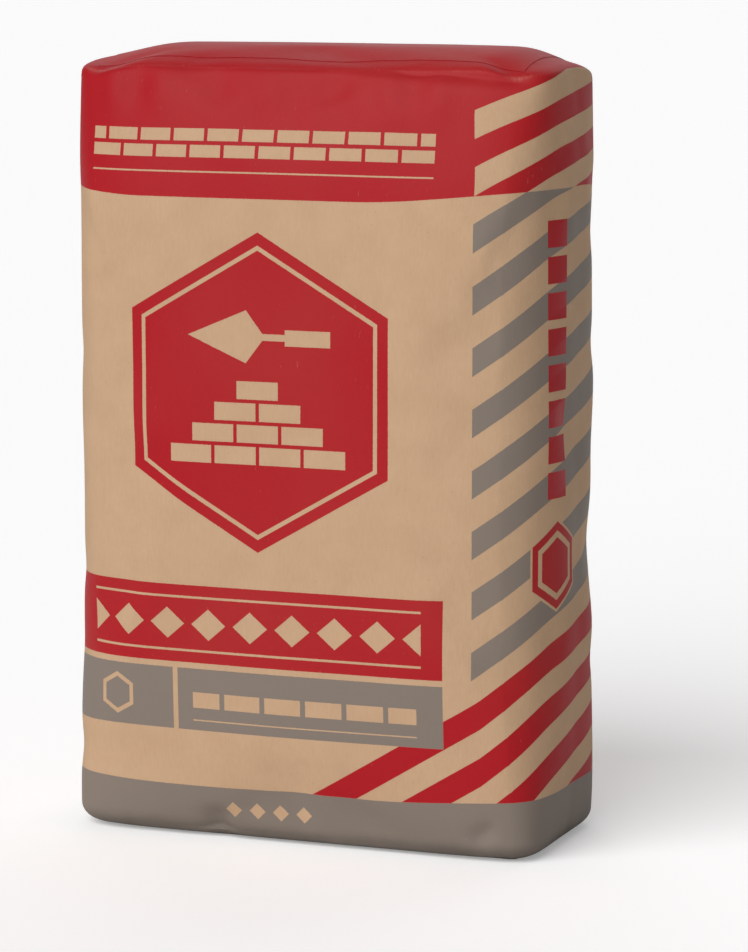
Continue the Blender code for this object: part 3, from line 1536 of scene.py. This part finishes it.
    def near_slot(self, middle: Vector, room: float) -> bool:
        """Whether a face of the left end lies within some room of the slot.

        Args:
            middle: the face's middle.
            room: how far from the slot it may lie.

        Returns:
            Whether it does.
        """
        low, high = self.slot_levels
        beside = abs(middle.y) < self.slot_half + room
        return middle.x < self.left_end and beside and low - room < middle.z < high + room

    def cut_slot(self, sack: bpy.types.Object) -> None:
        """Opens the slot in the left end that the valve sleeve comes out of.

        Args:
            sack: the sack's skin.
        """
        cuts = [((0.0, 0.0, level), (0.0, 0.0, 1.0)) for level in self.slot_levels]
        cuts += [((0.0, side * self.slot_half, 0.0), (0.0, 1.0, 0.0)) for side in (-1.0, 1.0)]
        with Editing(sack) as edit:
            for place, direction in cuts:
                edit.faces(lambda middle, normal: self.near_slot(middle, self.slot_room))
                bpy.ops.mesh.bisect(plane_co=place, plane_no=direction)
            edit.faces(lambda middle, normal: self.near_slot(middle, 0.0))
            bpy.ops.mesh.delete(type="FACE")

    def slot_face(self, skin: bpy.types.Object) -> float:
        """How far to the left the skin reaches round the slot.

        Args:
            skin: the sack's finished skin.

        Returns:
            The least x there.
        """
        margin = 0.003
        points = points_of(skin.data)
        low, high = self.slot_levels
        level = (points[:, 2] > low - margin) & (points[:, 2] < high + margin)
        near = (abs(points[:, 1]) < self.slot_half) & level
        return float(points[near, 0].min())

    def build(self, skin: bpy.types.Object) -> bpy.types.Object:
        """The sack itself.

        Args:
            skin: its finished skin.

        Returns:
            The sack.
        """
        sack = twin(skin, "paper_sack_visual")
        self.raise_seam(sack)
        self.cut_slot(sack)
        finish_with(sack, "SOLIDIFY", thickness=self.paper, offset=-1.0, use_quality_normals=True)
        return sack


class End(Enum):
    """An end of the sack, by the direction it faces."""

    TOP = 1.0
    BASE = -1.0


@dataclass
class EndPatch:
    """A patch of paper pasted over a folded end."""

    name: str
    end: End
    size: Pair
    gap: float = 0.0001
    paper: float = 0.00025

    def build(self, skin: bpy.types.Object) -> bpy.types.Object:
        """The patch, cut from the skin's end and laid on it.

        Args:
            skin: the sack's finished skin.

        Returns:
            The patch.
        """
        patch = twin(skin, self.name)
        with Editing(patch) as edit:
            edit.faces(lambda middle, normal: normal.z * self.end.value < 0.5)
            bpy.ops.mesh.delete(type="FACE")
            for axis, half in enumerate((self.size[0] / 2.0, self.size[1] / 2.0)):
                for side in (-1.0, 1.0):
                    direction = [0.0, 0.0, 0.0]
                    direction[axis] = side
                    place = [part * half for part in direction]
                    bpy.ops.mesh.select_all(action="SELECT")
                    bpy.ops.mesh.bisect(plane_co=place, plane_no=direction, clear_outer=True)
        finish_with(patch, "DISPLACE", strength=self.gap, mid_level=0.0)
        finish_with(patch, "SOLIDIFY", thickness=self.paper, offset=1.0)
        return patch


@dataclass
class CementFill:
    """The powder, which fills the sack to a level a little below its top."""

    clearance: float = 0.0013
    level: float = 0.573
    hollow: float = 0.0012
    rings: tuple[float, ...] = (0.94, 0.88, 0.80, 0.70, 0.55)

    def build(self, grid: bpy.types.Object) -> bpy.types.Object:
        """The powder's body, from the skin before it was smoothed.

        Args:
            grid: the skin at the density of its cells.

        Returns:
            The powder.
        """
        fill = twin(grid, "cement_fill_visual")
        finish_with(fill, "DISPLACE", strength=-self.clearance, mid_level=0.0)
        middle, upwards = (0.0, 0.0, self.level), (0.0, 0.0, 1.0)
        sink = {"value": (0.0, 0.0, -self.hollow / len(self.rings))}
        with Editing(fill):
            bpy.ops.mesh.select_all(action="SELECT")
            bpy.ops.mesh.bisect(
                plane_co=middle, plane_no=upwards, use_fill=True, clear_outer=True
            )
        with Editing(fill) as edit:
            edit.faces(lambda middle, normal: middle.z > self.level - HAIR and normal.z > 0.9)
            for share in self.rings:
                bpy.ops.mesh.extrude_region_move(TRANSFORM_OT_translate=sink)
                bpy.ops.transform.resize(value=(share, share, 1.0), center_override=middle)
        return fill


@dataclass
class ValveSleeve:
    """The filling valve: a flattened tube of paper whose lips stand out of the left end."""

    width: float = 0.080
    thickness: float = 0.0023
    length: float = 0.110
    lip: float = 0.0006
    paper: float = 0.0003
    sides: int = 48
    cells: int = 16
    flatness: float = 0.85
    wave: float = 0.0003
    wave_rate: float = 120.0
    wave_drift: float = 9.0
    lip_wave: float = 0.0006
    lip_wave_rate: float = 95.0

    def tube(self) -> bpy.types.Object:
        """A round tube, 1 across and 1 long, that lies along X.

        Returns:
            The tube.
        """
        bpy.ops.object.select_all(action="DESELECT")
        bpy.ops.mesh.primitive_cylinder_add(
            vertices=self.sides,
            radius=0.5,
            depth=1.0,
            end_fill_type="NOTHING",
            rotation=(0.0, math.pi / 2.0, 0.0),
        )
        sleeve = bpy.context.active_object
        sleeve.name = "valve_sleeve_visual"
        bpy.ops.object.transform_apply(location=True, rotation=True, scale=True)
        with Editing(sleeve) as edit:
            edit.edges(lambda edge: edge_span(edge, 0) > 0.5)
            bpy.ops.mesh.subdivide(number_cuts=self.cells - 1)
        return sleeve

    def build(self, face: float) -> bpy.types.Object:
        """The sleeve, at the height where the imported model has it.

        Args:
            face: how far to the left the sack reaches round the slot.

        Returns:
            The sleeve.
        """
        low, high = (np.array(corner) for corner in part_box("valve_sleeve"))
        middle = (low + high) / 2.0
        middle[0] = face - self.lip + self.length / 2.0
        sleeve = self.tube()
        points = points_of(sleeve.data)
        along, turn = points[:, 0], np.arctan2(points[:, 2], points[:, 1])
        half = (self.thickness - 2.0 * self.paper) / 2.0
        side = np.cos(turn)
        off_folds, at_lip = abs(side) < 0.9, along < -0.4
        y = np.sign(side) * abs(side) ** self.flatness * self.width / 2.0
        z = np.sin(turn) * half
        z += self.wave * np.sin(y * self.wave_rate + along * self.wave_drift) * off_folds
        x = along * self.length + self.lip_wave * np.sin(y * self.lip_wave_rate) * at_lip
        set_points(sleeve.data, np.stack([x, y, z], -1) + middle)
        finish_with(sleeve, "SOLIDIFY", thickness=self.paper, offset=0.0)
        return sleeve


@dataclass(frozen=True)
class Lamp:
    """A broad, distant soft lamp that shines at the sack.

    It shines from the direction of its place. Its breadth is how wide it looks from the
    sack, in degrees, and its power the light on a face turned to it, in watts a square metre.
    """

    name: str
    place: Triple
    breadth: float
    power: float

    def build(self) -> None:
        """Hangs the lamp."""
        data = bpy.data.lights.new(self.name, "SUN")
        data.angle = math.radians(self.breadth)
        data.energy = self.power
        lamp = bpy.data.objects.new(self.name, data)
        bpy.context.scene.collection.objects.link(lamp)
        lamp.location = self.place
        lamp.rotation_euler = (-Vector(self.place)).to_track_quat("-Z", "Y").to_euler()


@dataclass(frozen=True)
class Studio:
    """The floor, the light and the camera."""

    yaw: float = 21.1
    pitch: float = 8.4
    lens: float = 149.4
    distance: float = 3.019
    aim: Place = (0.0295, 0.271)
    floor_size: float = 60.0
    floor_glow: float = 0.28
    ambient: float = 0.13
    ground: float = 0.95
    lamps: tuple[Lamp, ...] = (
        Lamp("key", (-0.90, -3.0, 2.2), 60.0, 2.55),
        Lamp("back_fill", (-0.5, 3.4, 2.0), 70.0, 0.85),
    )

    def camera(self) -> None:
        """The camera, at the height and side that the sack is seen from."""
        yaw, pitch = math.radians(self.yaw), math.radians(self.pitch)
        level = math.cos(pitch)
        back = Vector((math.sin(yaw) * level, -math.cos(yaw) * level, math.sin(pitch)))
        right = Vector((math.cos(yaw), math.sin(yaw), 0.0))
        aim = right * self.aim[0] + Vector((0.0, 0.0, self.aim[1]))
        data = bpy.data.cameras.new("camera")
        data.lens = self.lens
        data.sensor_width = 36.0
        data.clip_end = 200.0
        camera = bpy.data.objects.new("camera", data)
        bpy.context.scene.collection.objects.link(camera)
        camera.location = aim + back * self.distance
        camera.rotation_euler = (-back).to_track_quat("-Z", "Y").to_euler()
        bpy.context.scene.camera = camera

    def floor(self) -> None:
        """A wide pale floor, which the camera alone sees a little brighter than it is lit."""
        bpy.ops.object.select_all(action="DESELECT")
        bpy.ops.mesh.primitive_plane_add(size=self.floor_size)
        floor = bpy.context.active_object
        floor.name = "floor"
        shader = Shader("pale_floor")
        seen = shader.signal("ShaderNodeLightPath", {}, {}, "Is Camera Ray")
        looks = {"Base Color": (0.93, 0.93, 0.93, 1.0), "Roughness": 0.9}
        looks |= {"Specular IOR Level": 0.0, "Emission Strength": self.floor_glow}
        looks |= {"Emission Color": shader.blend(seen, (0.0, 0.0, 0.0), (1.0, 1.0, 1.0))}
        floor.data.materials.append(shader.cover(looks))

    def sky(self) -> None:
        """Even light from all round, in front of a white ground."""
        world = bpy.data.worlds.new("studio")
        bpy.context.scene.world = world
        world.use_nodes = True
        nodes = Nodes(world.node_tree)
        seen = nodes.signal("ShaderNodeLightPath", {}, {}, "Is Camera Ray")
        light = world.node_tree.nodes["Background"].inputs
        light["Color"].default_value = (1.0, 1.0, 1.0, 1.0)
        nodes.fill(light["Strength"], seen * (self.ground - self.ambient) + self.ambient)

    def build(self) -> None:
        """Sets up the floor, the light and the camera."""
        self.camera()
        self.floor()
        self.sky()
        for lamp in self.lamps:
            lamp.build()
        bpy.context.scene.view_settings.view_transform = "Standard"


def dress(
    piece: bpy.types.Object, finish: bpy.types.Material, node: str, angle: float
) -> None:
    """Gives a piece its finish and its place in the model.

    Args:
        piece: the piece.
        finish: its material.
        node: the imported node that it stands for.
        angle: the sharpest turn, in degrees, that is shaded smooth.
    """
    piece.data.materials.clear()
    piece.data.materials.append(finish)
    only(piece)
    bpy.ops.object.shade_smooth_by_angle(angle=math.radians(angle))
    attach(piece, "root")
    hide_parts(node)
    log.info("%s: %d faces, for %s", piece.name, len(piece.data.polygons), node)


def main() -> None:
    """Builds the sack and all on and in it, then the studio."""
    logging.basicConfig(level=logging.INFO, format="%(name)s: %(message)s")
    maker = Sack()
    skin = maker.shape_skin()

    fill = CementFill().build(skin)
    dress(fill, CementPowder().build(), "cement_fill", 40.0)

    finish_with(skin, "SUBSURF", levels=1, render_levels=1, uv_smooth="NONE")
    sack = maker.build(skin)
    finish = PrintedPaper("printed_kraft", Ground.LAYOUT).build()
    dress(sack, finish, "paper_sack", 50.0)

    top = EndPatch("top_patch_visual", End.TOP, (0.340, 0.112)).build(skin)
    finish = PrintedPaper("red_printed_paper", Ground.RED).build()
    dress(top, finish, "top_patch", 40.0)
    base = EndPatch("bottom_patch_visual", End.BASE, (0.340, 0.136)).build(skin)
    finish = PrintedPaper("grey_printed_paper", Ground.GREY).build()
    dress(base, finish, "bottom_patch", 40.0)

    sleeve = ValveSleeve().build(maker.slot_face(skin))
    finish = PrintedPaper("plain_kraft", Ground.BARE).build()
    dress(sleeve, finish, "valve_sleeve", 60.0)

    bpy.data.objects.remove(skin)
    Studio().build()


if __name__ == "__main__":
    main()
